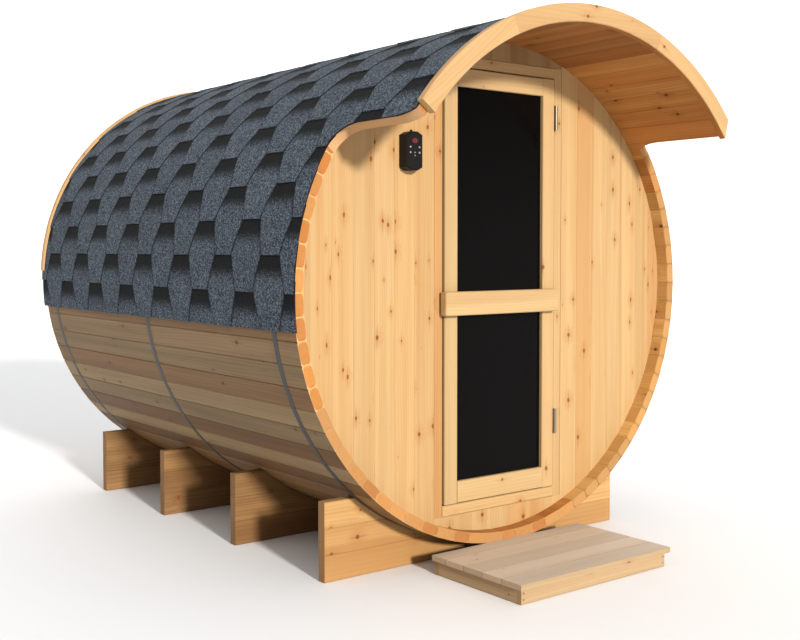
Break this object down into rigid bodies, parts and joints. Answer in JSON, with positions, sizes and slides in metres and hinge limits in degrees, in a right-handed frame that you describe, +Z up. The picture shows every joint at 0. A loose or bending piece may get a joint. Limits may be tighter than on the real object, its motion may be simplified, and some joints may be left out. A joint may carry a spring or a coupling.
{
  "type": "barrel sauna",
  "caption": "Barrel sauna of bead-and-cove staves on cradles, with a roofed canopy, shingled back, glazed hinged door, steel hoops and an entrance step.",
  "frame": {"origin": "centre of the footprint's box, at ground level", "axes": "+Z up, the door faces -Y, +X to the right as seen from the front"},
  "size_m": [2.0311, 2.8052, 2.0834],
  "materials": {
    "stave_pine": "planed and oiled",
    "wall_pine": "planed",
    "frame_pine": "planed",
    "door_pine": "planed",
    "fascia_pine": "planed",
    "cradle_pine": "glued boards, planed",
    "floor_pine": "planed",
    "step_pine": "weathered",
    "shingle": "mineral granules",
    "hoop_steel": "dull dark",
    "hinge_steel": "brushed",
    "dark_glass": "dark tinted",
    "control_plastic": "black",
    "keypad_plastic": "black"
  },
  "bodies": {
    "root": {"staves_ridge": "stave_pine", "staves_upper_right": "stave_pine", "staves_right": "stave_pine", "staves_lower_right": "stave_pine", "staves_floor": "stave_pine", "staves_lower_left": "stave_pine", "staves_left": "stave_pine", "staves_upper_left": "stave_pine", "cradle_front": "cradle_pine", "cradle_front_middle": "cradle_pine", "cradle_rear_middle": "cradle_pine", "cradle_rear": "cradle_pine", "front_wall_left": "wall_pine", "front_wall_right": "wall_pine", "front_wall_over_door": "wall_pine", "front_wall_under_door": "wall_pine", "rear_wall": "wall_pine", "jamb_left": "frame_pine", "jamb_right": "frame_pine", "door_head": "frame_pine", "door_sill": "frame_pine", "hinge_lower_frame_side": "hinge_steel", "hinge_upper_frame_side": "hinge_steel", "hoops": "hoop_steel", "front_fascia": "fascia_pine", "rear_fascia": "fascia_pine", "shingles_left": "shingle", "shingles_right": "shingle", "ridge_cap": "shingle", "floor_slats": "floor_pine", "floor_bearers": "floor_pine", "control_housing": "control_plastic", "control_keypad": "keypad_plastic", "step_deck": "step_pine", "step_frame": "step_pine"},
    "door": {"door_stile_latch": "door_pine", "door_stile_hinge": "door_pine", "door_rail_top": "door_pine", "door_rail_middle": "door_pine", "door_rail_bottom": "door_pine", "door_crossbar": "door_pine", "door_pane_upper": "dark_glass", "door_pane_lower": "dark_glass", "hinge_lower_leaf_side": "hinge_steel", "hinge_upper_leaf_side": "hinge_steel"}
  },
  "joints": [
    {"name": "door_swing", "type": "hinge", "parent": "root", "child": "door", "pos_m": [0.296, -0.88585, 1.0715], "axis": [0, 0, 1], "range_deg": [0, 100]}
  ]
}
